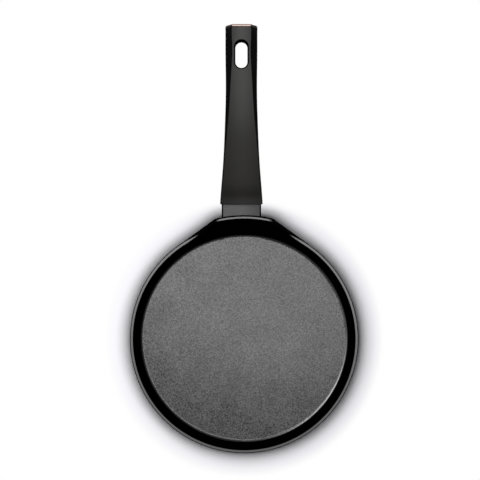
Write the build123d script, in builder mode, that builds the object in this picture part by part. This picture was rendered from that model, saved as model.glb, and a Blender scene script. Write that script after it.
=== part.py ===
from build123d import *
import math
import os

# Crepe pan in millimetres. The origin is the centre of the underside, on the surface that the pan
# rests on. +Z is up and the handle runs towards +Y.

# Pan body
rim_radius = 123.0
rim_width = 3.4
rim_round = 0.9
lip_height = 1.2
lip_overhang = 0.4
pan_height = 22.0
floor_thickness = 4.0
floor_round = 3.0
wall_lean = 8.4
foot_inset = 10.8
foot_round = 6.0

# Shoulder: the part of the wall that runs out to carry the handle
shoulder_reach = 10.2
shoulder_half_angle = 36.0
shoulder_slope = 48.0
shoulder_depth = 18.0
shoulder_corner = 10.0

# Induction disc, set in the underside
disc_inset = 20.2
disc_thickness = 0.8
disc_clearance = 0.1
groove_count = 3
groove_width = 1.2
groove_depth = 0.25

# Handle line, seen from the side: a straight rise, then one bend down to the tip
handle_offset = -3.0
root_tuck = 2.2
root_height = 13.0
rise_angle = 20.0
neck_length = 13.7
bend_run = 70.0
tip_angle = 14.0

# Flame guard: the sleeve between the pan and the grip
guard_width = 42.5
guard_height = 12.0
guard_wall = 1.0
guard_corner = 2.5
guard_tuck = 9.2
guard_depth = 6.0

# Bracket inside the sleeve and the grip
bracket_tuck = 23.2
bracket_width = 30.0
bracket_thickness = 5.0
bracket_corner = 1.0
socket_depth = 35.0

# Grip: wide at the pan, narrowest at the waist, with side facets that grow towards the tip
grip_length = 185.0
grip_end_width = 45.7
grip_waist_width = 33.2
grip_tip_width = 34.2
grip_end_thickness = 15.5
grip_belly_thickness = 20.0
grip_tip_thickness = 14.0
facet_width = 7.2
facet_drop = 6.4
edge_bevel = 1.3
grip_corner = 4.5
end_bevel = 0.7
fit_clearance = 0.15

# Hanging slot
slot_setback = 28.9
slot_width = 12.8
slot_length = 29.4
slot_chamfer = 1.5

# End cap and its two pegs
cap_thickness = 3.0
cap_bevel = 1.2
cap_corner = 1.8
cap_groove = 0.6
peg_radius = 2.0
peg_length = 6.0
peg_spacing = 18.0

# Fixing screw, from the underside
screw_setback = 21.0
screw_radius = 2.5
screw_grip = 5.0
head_radius = 4.6
head_height = 2.4
head_round = 0.7
recess_width = 1.2
recess_span = 5.0
recess_depth = 1.3
washer_radius = 5.3
washer_thickness = 0.8
lock_radius = 4.6
lock_thickness = 1.0
lock_gap = 0.8
bore_radius = 6.2
web_thickness = 1.6

# One overrun for every cut
overrun = 2.0

# Radii that follow the rim
floor_radius = rim_radius - rim_width - wall_lean
foot_radius = rim_radius - foot_inset
disc_radius = foot_radius - disc_inset
groove_pitch = disc_radius / (groove_count + 1)

# Places along the handle, as distances in plan from the pan's axis
shoulder_edge = rim_radius + shoulder_reach
root_distance = shoulder_edge - root_tuck
guard_start = shoulder_edge - guard_tuck
bracket_start = shoulder_edge - bracket_tuck
grip_start = shoulder_edge + neck_length
bracket_end = grip_start + socket_depth
screw_distance = grip_start + screw_setback
bend_distance = grip_start + bend_run
tip_distance = grip_start + grip_length
slot_distance = tip_distance - slot_setback


def direction(angle):
    """Unit vector in plan, at an angle from the handle's axis towards +X."""
    return Vector(math.sin(math.radians(angle)), math.cos(math.radians(angle)))


def shoulder_outline(radius):
    """Plan of the shoulder: tangents of the rim circle that run out to an arc concentric with it."""
    reach = radius + shoulder_reach
    corner_angle = shoulder_half_angle - math.degrees(math.acos(radius / reach))
    right, left = direction(shoulder_half_angle), direction(-shoulder_half_angle)
    right_corner, left_corner = direction(corner_angle), direction(-corner_angle)
    with BuildLine() as outline:
        Polyline(left_corner * reach, left * radius, (0, 0), right * radius, right_corner * reach)
        ThreePointArc(right_corner * reach, (0, reach), left_corner * reach)
    return outline


def shoulder_block(radius, top, depth, corner):
    """Solid under the shoulder's plan, narrowing downwards, with rounded corners."""
    with BuildPart() as block:
        with BuildSketch(Plane.XY.offset(top)):
            add(shoulder_outline(radius).line)
            make_face()
        extrude(amount=-depth, taper=shoulder_slope)
        slants = block.edges().filter_by(lambda edge: abs(edge.bounding_box().size.Z - depth) < overrun)
        fillet(slants.sort_by(lambda edge: -edge.center().Y)[0:2], corner)
    return block.part


def pan_outside(growth):
    """The pan's outside below its lip as one filled solid, grown by a clearance."""
    radius = rim_radius - lip_overhang + growth
    top = pan_height - lip_height
    block = shoulder_block(radius, top, shoulder_depth, shoulder_corner)
    with BuildPart() as outside:
        with BuildSketch(Plane.XZ) as half:
            Polygon((0, 0), (foot_radius + growth, 0), (radius, top), (0, top), align=None)
            corner = half.vertices().filter_by(lambda vertex: vertex.Y < top / 2 and vertex.X > overrun)
            fillet(corner, foot_round)
        revolve(axis=Axis.Z)
        add(block)
    return outside.part


# Handle line: the straight rise and the bend, as planes square to it

bend_radius = (tip_distance - bend_distance) / (
    math.sin(math.radians(rise_angle)) + math.sin(math.radians(tip_angle))
)


def handle_plane(distance):
    """Plane square to the handle line at a distance from the pan's axis; its Y points up."""
    rise = math.radians(rise_angle)
    if distance <= bend_distance:
        slope = rise
        height = root_height + (distance - root_distance) * math.tan(rise)
    else:
        slope = math.asin(math.sin(rise) - (distance - bend_distance) / bend_radius)
        bend_height = root_height + (bend_distance - root_distance) * math.tan(rise)
        height = bend_height + bend_radius * (math.cos(slope) - math.cos(rise))
    return Plane(
        origin=(handle_offset, distance, height),
        x_dir=(1, 0, 0),
        z_dir=(0, -math.cos(slope), -math.sin(slope)),
    )


def handle_top(distance):
    """Plane lying along the handle line, with its normal up out of the handle."""
    square = handle_plane(distance)
    return Plane(origin=square.origin, x_dir=square.x_dir, z_dir=square.y_dir)


def straight_length(start, end):
    """Length along the straight rise between two distances from the pan's axis."""
    return (end - start) / math.cos(math.radians(rise_angle))


# Pan body

with BuildPart() as pan_lip:
    with BuildSketch(Plane.XY.offset(pan_height - lip_height)) as lip_plan:
        add(shoulder_outline(rim_radius).line)
        make_face()
        outer_corners = lip_plan.vertices().filter_by(lambda vertex: vertex.Y > rim_radius)
        fillet(outer_corners, shoulder_corner)
        Circle(rim_radius)
    extrude(amount=lip_height)
    fillet(pan_lip.edges().group_by(Axis.Z)[-1], rim_round)

cavity_depth = pan_height - floor_thickness
cavity_shoulder = shoulder_block(
    rim_radius - rim_width, pan_height, cavity_depth, shoulder_corner - rim_width
)
outside_form = pan_outside(0)

with BuildPart() as pan_body:
    add(outside_form)
    add(pan_lip.part)
    with BuildSketch(Plane.XZ) as hollow:
        Polygon(
            (0, floor_thickness),
            (floor_radius, floor_thickness),
            (rim_radius - rim_width, pan_height),
            (0, pan_height),
            align=None,
        )
        inner_corner = hollow.vertices().sort_by(Axis.Y)[0:2].sort_by(Axis.X)[-1]
        fillet(inner_corner, floor_round)
    revolve(axis=Axis.Z, mode=Mode.SUBTRACT)
    add(cavity_shoulder, mode=Mode.SUBTRACT)
    with BuildSketch(Plane.XY):
        Circle(disc_radius + disc_clearance)
    extrude(amount=disc_thickness + disc_clearance, mode=Mode.SUBTRACT)
pan_body.part.label = "pan_body"

# Induction disc

with BuildPart() as induction_disc:
    with BuildSketch(Plane.XY):
        Circle(disc_radius)
    extrude(amount=disc_thickness)
    for ring in range(1, groove_count + 1):
        middle = ring * groove_pitch
        with BuildSketch(Plane.XY):
            Circle(middle + groove_width / 2)
            Circle(middle - groove_width / 2, mode=Mode.SUBTRACT)
        extrude(amount=groove_depth, mode=Mode.SUBTRACT)
induction_disc.part.label = "induction_disc"

# Handle bracket: a flat tang, joined to the shoulder's outer wall

weld_form = pan_outside(fit_clearance)
tang_height = bracket_thickness / 2

with BuildPart() as handle_bracket:
    with BuildSketch(handle_plane(bracket_start)):
        RectangleRounded(bracket_width, bracket_thickness, bracket_corner)
    extrude(amount=-straight_length(bracket_start, bracket_end))
    add(weld_form, mode=Mode.SUBTRACT)
    with BuildSketch(handle_top(screw_distance).offset(-tang_height)):
        Circle(screw_radius)
    extrude(amount=bracket_thickness, mode=Mode.SUBTRACT)
handle_bracket.part.label = "handle_bracket"

# Flame guard: a drawn sleeve, trimmed to the shoulder

guard_end = grip_start + guard_depth * math.cos(math.radians(rise_angle))

with BuildPart() as flame_guard:
    with BuildSketch(handle_plane(guard_start - guard_height)):
        RectangleRounded(guard_width, guard_height, guard_corner)
        RectangleRounded(
            guard_width - 2 * guard_wall,
            guard_height - 2 * guard_wall,
            guard_corner - guard_wall,
            mode=Mode.SUBTRACT,
        )
    extrude(amount=-straight_length(guard_start - guard_height, guard_end))
    add(weld_form, mode=Mode.SUBTRACT)
    split(bisect_by=Plane.XZ.offset(-guard_start), keep=Keep.BOTTOM)
flame_guard.part.label = "flame_guard"

# Grip: each row holds the section's place along the grip, then how far it has the pan end's flare and
# thinness, the side facets, and the tip's spread and thinness

grip_section_shares = [
    (0, 1, 1, 0, 0, 0),
    (0.08, 0.82, 0.67, 0, 0, 0),
    (0.18, 0.57, 0.22, 0, 0, 0),
    (0.32, 0.31, 0, 0.05, 0, 0),
    (0.46, 0.14, 0, 0.3, 0, 0),
    (0.59, 0.02, 0, 0.5, 0, 0.17),
    (0.69, 0, 0, 0.66, 0, 0.33),
    (0.8, 0, 0, 0.92, 0.5, 0.56),
    (0.9, 0, 0, 1, 0.8, 0.8),
    (1, 0, 0, 1, 1, 1),
]


def grip_sketch(shares):
    """One cross-section of the grip, square to the handle line."""
    place_share, flare_share, thin_share, facet_share, spread_share, tip_thin_share = shares
    distance = grip_start + place_share * (tip_distance - grip_start)
    width = (
        grip_waist_width
        + flare_share * (grip_end_width - grip_waist_width)
        + spread_share * (grip_tip_width - grip_waist_width)
    )
    thickness = (
        grip_belly_thickness
        - thin_share * (grip_belly_thickness - grip_end_thickness)
        - tip_thin_share * (grip_belly_thickness - grip_tip_thickness)
    )
    facet = edge_bevel + facet_share * (facet_width - edge_bevel)
    drop = edge_bevel + facet_share * (facet_drop - edge_bevel)
    side, top = width / 2, thickness / 2
    with BuildSketch(handle_plane(distance)) as sketch:
        with BuildLine():
            Polyline(
                (side - facet, top),
                (side, top - drop),
                (side, -top),
                (-side, -top),
                (-side, top - drop),
                (facet - side, top),
                close=True,
            )
        make_face()
        lower = sketch.vertices().sort_by(Axis.Y)[0:2]
        fillet(lower, grip_corner)
    return sketch.sketch


grip_faces = [grip_sketch(shares) for shares in grip_section_shares]

with BuildPart() as handle_grip:
    loft(sections=grip_faces)
    chamfer(handle_grip.faces().sort_by(Axis.Y)[0].edges(), end_bevel)
    # Recess for the sleeve
    with BuildSketch(handle_plane(grip_start - overrun)):
        RectangleRounded(
            guard_width + 2 * fit_clearance, guard_height + 2 * fit_clearance, guard_corner + fit_clearance
        )
    recess_end = guard_end + fit_clearance
    extrude(amount=-straight_length(grip_start - overrun, recess_end), mode=Mode.SUBTRACT)
    # Socket for the bracket
    with BuildSketch(handle_plane(grip_start - overrun)):
        RectangleRounded(
            bracket_width + 2 * fit_clearance,
            bracket_thickness + 2 * fit_clearance,
            bracket_corner + fit_clearance,
        )
    socket_end = bracket_end + fit_clearance
    extrude(amount=-straight_length(grip_start - overrun, socket_end), mode=Mode.SUBTRACT)
    # Screw bore from the underside, and the hole through the web above it
    with BuildSketch(handle_top(screw_distance).offset(-tang_height)):
        Circle(screw_radius + fit_clearance)
    extrude(amount=-bracket_thickness, mode=Mode.SUBTRACT)
    with BuildSketch(handle_top(screw_distance).offset(-tang_height - web_thickness)):
        Circle(bore_radius)
    extrude(amount=-bracket_thickness - overrun, mode=Mode.SUBTRACT)
    # Hanging slot, right through
    with BuildSketch(handle_top(slot_distance)):
        SlotOverall(slot_length, slot_width, rotation=90)
    extrude(amount=slot_width, both=True, mode=Mode.SUBTRACT)
    slot_rims = handle_grip.edges().filter_by(
        lambda edge: abs(edge.center().X - handle_offset) < slot_width / 2 + overrun
        and abs(edge.center().Y - slot_distance) < slot_length / 2 + overrun
        and abs((edge @ 0 - edge @ 1).Z) < slot_width / 2
    )
    chamfer(slot_rims, slot_chamfer)
    # Holes for the cap's pegs
    with BuildSketch(handle_plane(tip_distance)):
        with GridLocations(peg_spacing, 0, 2, 1):
            Circle(peg_radius + fit_clearance)
    extrude(amount=peg_length + fit_clearance, mode=Mode.SUBTRACT)
handle_grip.part.label = "handle_grip"

# End cap: a shaped plate over the grip's tip, on two pegs

with BuildPart() as end_cap:
    outward = -handle_plane(tip_distance).z_dir
    extrude(grip_faces[-1], amount=cap_thickness, dir=outward)
    cap_axis = Axis(handle_plane(tip_distance).origin, outward)
    far_face = end_cap.faces().sort_by(cap_axis)[-1]
    side_edges = far_face.edges().filter_by(lambda edge: abs((edge @ 0 - edge @ 1).X) < cap_bevel)
    fillet(side_edges, cap_corner)
    near_face = end_cap.faces().sort_by(cap_axis)[0]
    chamfer(near_face.edges(), cap_groove)
    far_face = end_cap.faces().sort_by(cap_axis)[-1]
    other_edges = far_face.edges().filter_by(lambda edge: abs((edge @ 0 - edge @ 1).X) > cap_bevel)
    chamfer(other_edges, cap_bevel)
    with BuildSketch(handle_plane(tip_distance)):
        with GridLocations(peg_spacing, 0, 2, 1):
            Circle(peg_radius)
    extrude(amount=peg_length)
end_cap.part.label = "end_cap"

# Fixing screw with its two washers, from the underside up into the bracket

seat = handle_top(screw_distance).offset(-tang_height - web_thickness)

with BuildPart() as flat_washer:
    with BuildSketch(seat):
        Circle(washer_radius)
        Circle(screw_radius + fit_clearance, mode=Mode.SUBTRACT)
    extrude(amount=-washer_thickness)
flat_washer.part.label = "flat_washer"

with BuildPart() as lock_washer:
    with BuildSketch(seat.offset(-washer_thickness)):
        Circle(lock_radius)
        Circle(screw_radius + fit_clearance, mode=Mode.SUBTRACT)
        with Locations((lock_radius / 2 + screw_radius / 2, 0)):
            Rectangle(lock_radius, lock_gap, mode=Mode.SUBTRACT)
    extrude(amount=-lock_thickness)
lock_washer.part.label = "lock_washer"

with BuildPart() as fixing_screw:
    head_seat = seat.offset(-washer_thickness - lock_thickness)
    with BuildSketch(head_seat):
        Circle(head_radius)
    extrude(amount=-head_height)
    screw_axis = Axis(seat.origin, seat.z_dir)
    fillet(fixing_screw.edges().group_by(screw_axis)[0], head_round)
    with BuildSketch(head_seat):
        Circle(screw_radius - fit_clearance)
    extrude(amount=washer_thickness + lock_thickness + web_thickness + screw_grip)
    with BuildSketch(head_seat.offset(-head_height)):
        Rectangle(recess_span, recess_width)
        Rectangle(recess_width, recess_span)
    extrude(amount=recess_depth, mode=Mode.SUBTRACT)
fixing_screw.part.label = "fixing_screw"

# Export

os.makedirs("parts", exist_ok=True)
export_step(pan_body.part, "parts/pan_body.step")
export_step(induction_disc.part, "parts/induction_disc.step")
export_step(handle_bracket.part, "parts/handle_bracket.step")
export_step(flame_guard.part, "parts/flame_guard.step")
export_step(handle_grip.part, "parts/handle_grip.step")
export_step(end_cap.part, "parts/end_cap.step")
export_step(fixing_screw.part, "parts/fixing_screw.step")
export_step(flat_washer.part, "parts/flat_washer.step")
export_step(lock_washer.part, "parts/lock_washer.step")
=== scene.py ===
import bpy
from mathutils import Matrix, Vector


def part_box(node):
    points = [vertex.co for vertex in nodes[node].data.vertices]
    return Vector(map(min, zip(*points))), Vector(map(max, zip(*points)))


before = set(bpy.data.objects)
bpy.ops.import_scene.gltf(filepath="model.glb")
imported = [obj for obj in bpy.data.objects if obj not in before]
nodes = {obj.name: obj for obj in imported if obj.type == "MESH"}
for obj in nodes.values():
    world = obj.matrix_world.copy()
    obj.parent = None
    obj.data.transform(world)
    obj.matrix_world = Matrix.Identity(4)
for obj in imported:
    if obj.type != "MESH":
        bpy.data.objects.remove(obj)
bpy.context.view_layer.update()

scene = bpy.context.scene


# Camera: straight above the pan, far off with a long lens, with the handle pointing up the picture.
# It stands a little to the left of the pan's axis and well towards the handle.

rim_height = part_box("pan_body")[1][2]
camera_place = (-0.0045, 0.1064)
camera_distance = 3.0
view_width = 0.5165
sensor_width = 36.0
view_limit = 20.0

camera_data = bpy.data.cameras.new("camera")
camera_data.sensor_width = sensor_width
camera_data.lens = sensor_width * camera_distance / view_width
camera_data.clip_end = view_limit
camera = bpy.data.objects.new("camera", camera_data)
camera.location = (camera_place[0], camera_place[1], rim_height + camera_distance)
scene.collection.objects.link(camera)
scene.camera = camera
scene.view_settings.view_transform = "Standard"


# Studio: a white paper floor under the pan and a dim even surround. A round lamp above and a far one
# at the upper left light the pan, two more light the handle and its fittings, and the last lights the
# floor, where the pan keeps its shadow. Away from the pan the paper shows as plain white.


def grey(level):
    return (level, level, level, 1)


floor_size = 20.0
floor_white = grey(0.9)
floor_shown = (0.97, 0.965, 1.0, 1.0)
shadow_reach = (0.14, 0.152)
surround_colour = (0.97, 0.98, 1.0, 1.0)
surround_strength = 0.12
lamps = {
    "pan_lamp": {
        "lights": "pan", "shaded_by": "fittings", "shape": "DISK",
        "place": (0.025, 0.125, 0.73), "aim": (0.03, 0.07, 0.0), "size": 0.45, "power": 1.46,
    },
    "edge_lamp": {
        "lights": "pan", "shaded_by": "fittings", "shape": "SQUARE",
        "place": (-1.42, 0.82, 1.17), "aim": (0.0, 0.0, 0.0), "size": 0.65, "power": 66.0,
    },
    "handle_lamp": {
        "lights": "fittings", "shaded_by": "fittings", "shape": "SQUARE",
        "place": (0.03, 0.2, 0.73), "aim": (0.02, 0.14, 0.0), "size": 0.6, "power": 3.55,
    },
    "tip_lamp": {
        "lights": "fittings", "shaded_by": "fittings", "shape": "SQUARE",
        "place": (0.01, 0.88, 0.8), "aim": (0.0, 0.46, 0.0), "size": 0.2, "power": 4.0,
    },
    "floor_lamp": {
        "lights": "floor", "shaded_by": "pan", "shape": "SQUARE",
        "place": (-0.016, 0.008, 0.3), "aim": (-0.016, 0.008, 0.0), "size": 0.235, "power": 1.2,
    },
}


class Value:
    """A number or colour in a material; the usual signs add its maths nodes."""

    def __init__(self, finish, socket):
        self.finish = finish
        self.socket = socket

    def maths(self, operation, *values):
        return self.finish.node("ShaderNodeMath", list(values), operation=operation)

    def __add__(self, other):
        return self.maths("ADD", self, other)

    def __radd__(self, other):
        return self.maths("ADD", other, self)

    def __sub__(self, other):
        return self.maths("SUBTRACT", self, other)

    def __rsub__(self, other):
        return self.maths("SUBTRACT", other, self)

    def __mul__(self, other):
        return self.maths("MULTIPLY", self, other)

    def __rmul__(self, other):
        return self.maths("MULTIPLY", other, self)

    def root(self):
        return self.maths("SQRT", self)

    def size(self):
        return self.maths("ABSOLUTE", self)

    def sine(self):
        return self.maths("SINE", self)

    def larger(self, other):
        return self.maths("MAXIMUM", self, other)

    def step(self, start, end):
        """0 before start, 1 after end, and a smooth rise between them."""
        return self.finish.node(
            "ShaderNodeMapRange",
            {"Value": self, "From Min": start, "From Max": end},
            interpolation_type="SMOOTHSTEP",
        )


class Finish:
    """One material and its nodes."""

    def __init__(self, name):
        self.material = bpy.data.materials.new(name)
        self.material.use_nodes = True
        self.tree = self.material.node_tree
        self.tree.nodes.clear()
        self.place = self.node("ShaderNodeTexCoord", {}, output="Object")
        self.facing = Value(self, self.place.socket.node.outputs["Normal"])
        self.x, self.y, self.z = self.split(self.place)
        self.face_x, self.face_y, self.face_z = self.split(self.facing)

    def node(self, kind, inputs, output=0, stops=None, **settings):
        """Adds a node: its settings first, then the values or links of its sockets."""
        new = self.tree.nodes.new(kind)
        for name, value in settings.items():
            setattr(new, name, value)
        if stops:
            ramp = new.color_ramp.elements
            while len(ramp) < len(stops):
                ramp.new(1.0)
            for element, (position, colour) in zip(ramp, stops):
                element.position = position
                element.color = colour
        pairs = inputs.items() if isinstance(inputs, dict) else enumerate(inputs)
        for name, value in pairs:
            socket = new.inputs[name]
            if isinstance(value, Value):
                self.tree.links.new(value.socket, socket)
            else:
                socket.default_value = value
        return Value(self, new.outputs[output])

    def from_axis(self):
        """The distance from the piece's upright axis."""
        return (self.x * self.x + self.y * self.y).root()

    def split(self, vector):
        parts = self.node("ShaderNodeSeparateXYZ", [vector])
        return [Value(self, output) for output in parts.socket.node.outputs]

    def mix(self, share, first, second):
        """A blend of two colours."""
        new = self.tree.nodes.new("ShaderNodeMix")
        new.data_type = "RGBA"
        for name, value in (("Factor_Float", share), ("A_Color", first), ("B_Color", second)):
            socket = next(s for s in new.inputs if s.identifier == name)
            if isinstance(value, Value):
                self.tree.links.new(value.socket, socket)
            else:
                socket.default_value = value
        return Value(self, next(s for s in new.outputs if s.identifier == "Result_Color"))

    def noise(self, scale, detail=2.0, roughness=0.5, place=None):
        return self.node(
            "ShaderNodeTexNoise",
            {
                "Vector": self.place if place is None else place,
                "Scale": scale,
                "Detail": detail,
                "Roughness": roughness,
            },
        )

    def stretch(self, along):
        """The place on the piece, scaled by a different amount along each axis."""
        return self.node("ShaderNodeMapping", {"Vector": self.place, "Scale": along})

    def bump(self, height, distance, under=None):
        """Raises and lowers the surface by height times distance, over another bump if one is given."""
        sockets = {"Height": height, "Distance": distance}
        if under is not None:
            sockets["Normal"] = under
        return self.node("ShaderNodeBump", sockets)

    def shader(self, **sockets):
        names = {name.replace("_", " "): value for name, value in sockets.items()}
        return self.node("ShaderNodeBsdfPrincipled", names)

    def blend(self, share, first, second):
        """A blend of two shaders."""
        return self.node("ShaderNodeMixShader", [share, first, second])

    def finish(self, surface):
        end = self.tree.nodes.new("ShaderNodeOutputMaterial")
        self.tree.links.new(surface.socket, end.inputs["Surface"])
        return self.material

    def coat(self, node_name):
        """Gives this material to a CAD node."""
        for slot in nodes[node_name].material_slots:
            slot.material = self.material


bpy.ops.object.select_all(action="DESELECT")
bpy.ops.mesh.primitive_plane_add(size=floor_size, location=(0, 0, 0))
floor = bpy.context.active_object
floor.name = "floor"

paper = Finish("floor_paper")
rays = paper.node("ShaderNodeLightPath", {}).socket.node.outputs
camera_ray, mirror_ray, glass_ray = [
    Value(paper, rays[name]) for name in ("Is Camera Ray", "Is Glossy Ray", "Is Transmission Ray")
]
shown = camera_ray.larger(mirror_ray).larger(glass_ray)
away = paper.from_axis().step(*shadow_reach)
near_pan = paper.node("ShaderNodeBsdfDiffuse", {"Color": floor_shown})
plain_white = paper.node("ShaderNodeEmission", {"Strength": 1.0})
lighting = paper.node("ShaderNodeBsdfDiffuse", {"Color": floor_white})
floor.data.materials.append(
    paper.finish(paper.blend(shown, lighting, paper.blend(away, near_pan, plain_white)))
)

world = bpy.data.worlds.new("surround")
scene.world = world
world.use_nodes = True
background = world.node_tree.nodes["Background"]
background.inputs["Color"].default_value = surround_colour
background.inputs["Strength"].default_value = surround_strength

members = {
    "floor": [floor],
    "pan": [nodes["pan_body"]],
    "fittings": [node for name, node in nodes.items() if name != "pan_body"],
}
groups = {}
for name, pieces in members.items():
    groups[name] = bpy.data.collections.new(name + "_group")
    for piece in pieces:
        groups[name].objects.link(piece)

for name, facts in lamps.items():
    lamp_data = bpy.data.lights.new(name, "AREA")
    lamp_data.shape = facts["shape"]
    lamp_data.size = facts["size"]
    lamp_data.energy = facts["power"]
    lamp = bpy.data.objects.new(name, lamp_data)
    lamp.location = facts["place"]
    toward = Vector(facts["aim"]) - Vector(facts["place"])
    lamp.rotation_euler = toward.to_track_quat("-Z", "Y").to_euler()
    lamp.visible_camera = False
    lamp.light_linking.receiver_collection = groups[facts["lights"]]
    lamp.light_linking.blocker_collection = groups[facts["shaded_by"]]
    scene.collection.objects.link(lamp)


# Pan body: pressed aluminium under a dark non-stick coating. The cooking floor has a finely mottled
# grey stone look and ends in a glossy bend, and the wall is plain black. Two rings on the rim are
# painted lighter as a highlight where the rim catches the light.

floor_height = 0.004
floor_edge = 0.1118
floor_edge_softness = 0.0004
floor_bend_rise = (0.0014, 0.0019)
rim_band = (0.0004, 0.0002)
# Painted highlight: the rim's top is coloured lighter in two rings, one round the rim and one on the
# shoulder.
rim_highlight_ring = (0.12, 0.1222)
shoulder_highlight_ring = (0.1292, 0.1314)
shoulder_strip = (0.025, 0.031)
highlight_softness = 0.0002
upward_faces = (0.0, 0.1)
stone_faces = (0.93, 0.975)
bend_faces = (0.9, 0.94)
floor_dark, floor_grey, floor_light = grey(0.009), grey(0.048), grey(0.103)
wall_black = grey(0.0002)
# The rings' grey is a painted highlight on the black rim.
rim_highlight_grey = grey(0.085)
rim_black = grey(0.0008)
outside_dark, outside_light = grey(0.012), grey(0.035)
stone_stops = [(0.41, floor_dark), (0.5, floor_grey), (0.59, floor_light)]
speckle_noise, speckle_share = (850.0, 3.0, 0.75), 0.88
cloud_noise, cloud_share = (30.0, 2.0, 0.5), 0.12
fleck_noise, fleck_range = (1400.0, 2.0, 0.6), (0.45, 0.75)
grain_depth = 0.00003

coating = Finish("pan_coating")
radius = coating.from_axis()


def past(edge, softness):
    """0 inside a radius and 1 outside it."""
    return radius.step(edge - softness, edge + softness)


def ring(limits):
    """1 between two radii, and 0 outside them."""
    inner, outer = limits
    return past(inner, highlight_softness) * (1 - past(outer, highlight_softness))


upward = coating.face_z.step(*upward_faces)
on_floor = (1 - past(floor_edge, floor_edge_softness)) * upward * (
    1 - coating.z.step(*[floor_height + rise for rise in floor_bend_rise])
)
on_rim = coating.z.step(*[rim_height - depth for depth in rim_band])
strip_end = 1 - coating.x.size().step(*shoulder_strip)
# The painted highlight: both rings on the rim, with the shoulder's ring ending before its flanks.
painted_highlight = on_rim * (ring(rim_highlight_ring) + ring(shoulder_highlight_ring) * strip_end)
speckle = coating.noise(*speckle_noise)
cloud = coating.noise(*cloud_noise)
stone = coating.node(
    "ShaderNodeValToRGB", [speckle * speckle_share + cloud * cloud_share], stops=stone_stops
)
flecks = coating.noise(*fleck_noise).step(*fleck_range)
outside = coating.mix(flecks, outside_dark, outside_light)
inside = coating.mix(on_floor, wall_black, stone)
coated = coating.mix(upward, outside, inside)
colour = coating.mix(on_rim, coated, coating.mix(painted_highlight, rim_black, rim_highlight_grey))
grain = coating.bump(speckle, grain_depth)
satin = coating.shader(Base_Color=colour, Roughness=0.21, Specular_IOR_Level=0.5, Normal=grain)
glossy = coating.shader(Base_Color=wall_black, Roughness=0.42, Specular_IOR_Level=1.0)
dull = coating.shader(Base_Color=colour, Roughness=0.8, Specular_IOR_Level=0.0)
on_stone = on_floor * coating.face_z.step(*stone_faces)
on_bend = on_floor * (1 - coating.face_z.step(*bend_faces))
on_wall = upward * (1 - on_stone) * (1 - painted_highlight)
coating.finish(coating.blend(on_bend, coating.blend(on_wall, satin, dull), glossy))
coating.coat("pan_body")


# Induction disc: a thin disc of magnetic steel, pressed into the recess of the underside. Its face is
# turned on a lathe, which leaves fine rings.

disc_grey = (0.52, 0.52, 0.53, 1)
lathe_lines = 9000.0
line_depth = 0.00002

disc_steel = Finish("disc_steel")
lines = (disc_steel.from_axis() * lathe_lines).sine()
disc_steel.finish(
    disc_steel.shader(
        Base_Color=disc_grey, Metallic=1.0, Roughness=0.34,
        Normal=disc_steel.bump(lines, line_depth),
    )
)
disc_steel.coat("induction_disc")


# Handle bracket: a cast aluminium tang, welded to the shoulder from outside. It runs through the
# sleeve into the grip and takes the fixing screw.

cast_dark, cast_light = (0.36, 0.36, 0.37, 1), (0.5, 0.5, 0.51, 1)
cast_patches = 250.0
cast_grain = 700.0
cast_depth = 0.0001

tang = Finish("bracket_metal")
tang.finish(
    tang.shader(
        Base_Color=tang.mix(tang.noise(cast_patches), cast_dark, cast_light),
        Metallic=1.0, Roughness=0.5, Normal=tang.bump(tang.noise(cast_grain), cast_depth),
    )
)
tang.coat("handle_bracket")


# Flame guard: a drawn steel sleeve, darkened and brushed across. It is pushed over the bracket and
# held between the pan and the grip. Its left side is painted lighter as a sheen that fades towards the
# right, and its rounded corners are painted black as shade.

brush_noise = (1.0, 3.0, 0.6)
brush_stretch = (60.0, 2600.0, 2600.0)
brush_depth = 0.00004
# Painted sheen: the left side's greys are lighter and the right side's darker, blended across the
# sleeve.
lit_side_greys = (grey(0.073), grey(0.195))
shaded_side_greys = (grey(0.041), grey(0.13))
sheen_fall = (-0.004, 0.018)
# Painted shade: the rounded corners are coloured black.
corner_painted_shade = grey(0.001)
side_faces = (0.1, 0.3)
sleeve_top = (0.8, 0.93)

guard = Finish("guard_steel")
brush = guard.noise(*brush_noise, guard.stretch(brush_stretch))
# The corners that are painted black as shade, picked by how they face.
shaded_corner = guard.face_z.step(*side_faces) * (1 - guard.face_z.step(*sleeve_top))
# The brushed greys, painted lighter on the left as a sheen.
brushed_steel_and_sheen = guard.mix(
    guard.x.step(*sheen_fall), guard.mix(brush, *lit_side_greys), guard.mix(brush, *shaded_side_greys)
)
brushed_and_sheen = guard.shader(
    Base_Color=brushed_steel_and_sheen, Roughness=0.4, Specular_IOR_Level=0.3,
    Normal=guard.bump(brush, brush_depth),
)
corner_shade = guard.shader(Base_Color=corner_painted_shade, Roughness=0.7, Specular_IOR_Level=0.0)
guard.finish(guard.blend(shaded_corner, brushed_and_sheen, corner_shade))
guard.coat("flame_guard")


# Grip: one phenolic moulding. Its top face is very slightly crowned and has a fine satin texture. The
# facets and the sides beside it are smooth and painted black as shade, and so are the slot's walls.

slot_middle = (-0.003, 0.303)
slot_half = (0.0082, 0.0168)
slot_softness = 0.0005
crown_line = -0.003
crown = 12.0
skin_noise = (1500.0, 2.0, 0.6)
skin_depth = 0.00003
charcoal_dark, charcoal_light = (0.018, 0.0168, 0.016, 1), (0.024, 0.0225, 0.0215, 1)
# Painted shade: the facets and the slot's walls are coloured black.
facet_painted_shade = grey(0.001)
slot_painted_shade = grey(0.0005)
grip_top = (0.86, 0.93)
underside_faces = (-0.75, -0.5)

grip = Finish("grip_plastic")
skin = grip.noise(*skin_noise)
top_face = grip.face_z.step(*grip_top)
# The facets, picked by how they face, take the black painted shade.
edge = grip.face_z.step(*side_faces) * (1 - top_face)


def within(place, middle, half):
    """1 within half a width of the middle, and 0 farther off."""
    return 1 - (place - middle).size().step(half, half + slot_softness)


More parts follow.
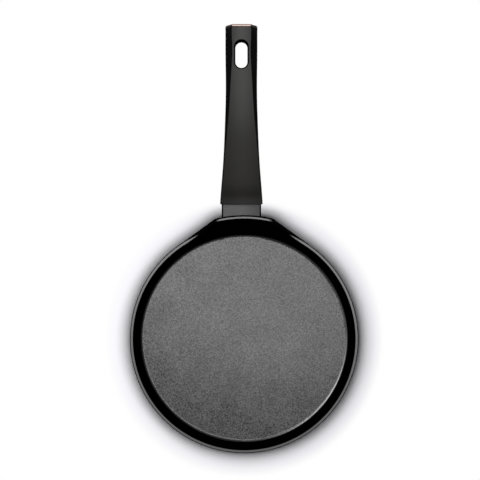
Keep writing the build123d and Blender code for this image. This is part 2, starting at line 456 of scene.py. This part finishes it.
around_slot = within(grip.x, slot_middle[0], slot_half[0]) * within(
    grip.y, slot_middle[1], slot_half[1]
)
aside = grip.x - crown_line
rounded = grip.bump(aside * aside * -crown, 1.0)
charcoal = grip.shader(
    Base_Color=grip.mix(skin, charcoal_dark, charcoal_light),
    Roughness=0.55, Specular_IOR_Level=0.38, Normal=grip.bump(skin, skin_depth, rounded),
)
shaded_facets = grip.shader(Base_Color=facet_painted_shade, Roughness=0.35, Specular_IOR_Level=0.05)
shaded = grip.shader(Base_Color=slot_painted_shade, Roughness=0.8, Specular_IOR_Level=0.0)
# The slot's walls, painted black as shade.
slot_wall = around_slot * (1 - top_face) * grip.face_z.step(*underside_faces)
grip.finish(grip.blend(slot_wall, grip.blend(edge, charcoal, shaded_facets), shaded))
grip.coat("handle_grip")


# End cap: a rose gold plated plate over the grip's free end, held by two pegs. Its top and its end are
# satin, and its bevels and the joint beside the grip are painted dark brown as shade.

rose_dark, rose_light = (0.56, 0.41, 0.37, 1), (0.63, 0.46, 0.42, 1)
# Painted shade: the bevels and the joint are coloured dark brown.
bevel_shade_dark, bevel_shade_light = (0.075, 0.05, 0.042, 1), (0.095, 0.063, 0.053, 1)
wear_patches = 400.0
satin_faces = (0.93, 0.955)

rose = Finish("rose_gold")
wear = rose.noise(wear_patches)
# Only the top and the end keep the rose gold; the faces between them take the painted shade.
flat = rose.face_z.step(*satin_faces).larger(rose.face_y.step(*satin_faces))
plated = rose.mix(wear, rose_dark, rose_light)
bevel_shade = rose.mix(wear, bevel_shade_dark, bevel_shade_light)
rose.finish(
    rose.blend(
        flat,
        rose.shader(Base_Color=bevel_shade, Metallic=0.8, Roughness=0.5),
        rose.shader(Base_Color=plated, Metallic=0.8, Roughness=0.6),
    )
)
rose.coat("end_cap")


# Screw and washers: zinc plated steel, in the bore under the grip. The screw draws the grip against
# the bracket, with a flat and a lock washer under its head.

zinc_dark, zinc_light = (0.5, 0.5, 0.5, 1), (0.62, 0.62, 0.61, 1)
zinc_patches = 300.0

zinc = Finish("screw_steel")
zinc.finish(
    zinc.shader(
        Base_Color=zinc.mix(zinc.noise(zinc_patches), zinc_dark, zinc_light),
        Metallic=1.0, Roughness=0.35,
    )
)
for fastener in ("fixing_screw", "flat_washer", "lock_washer"):
    zinc.coat(fastener)
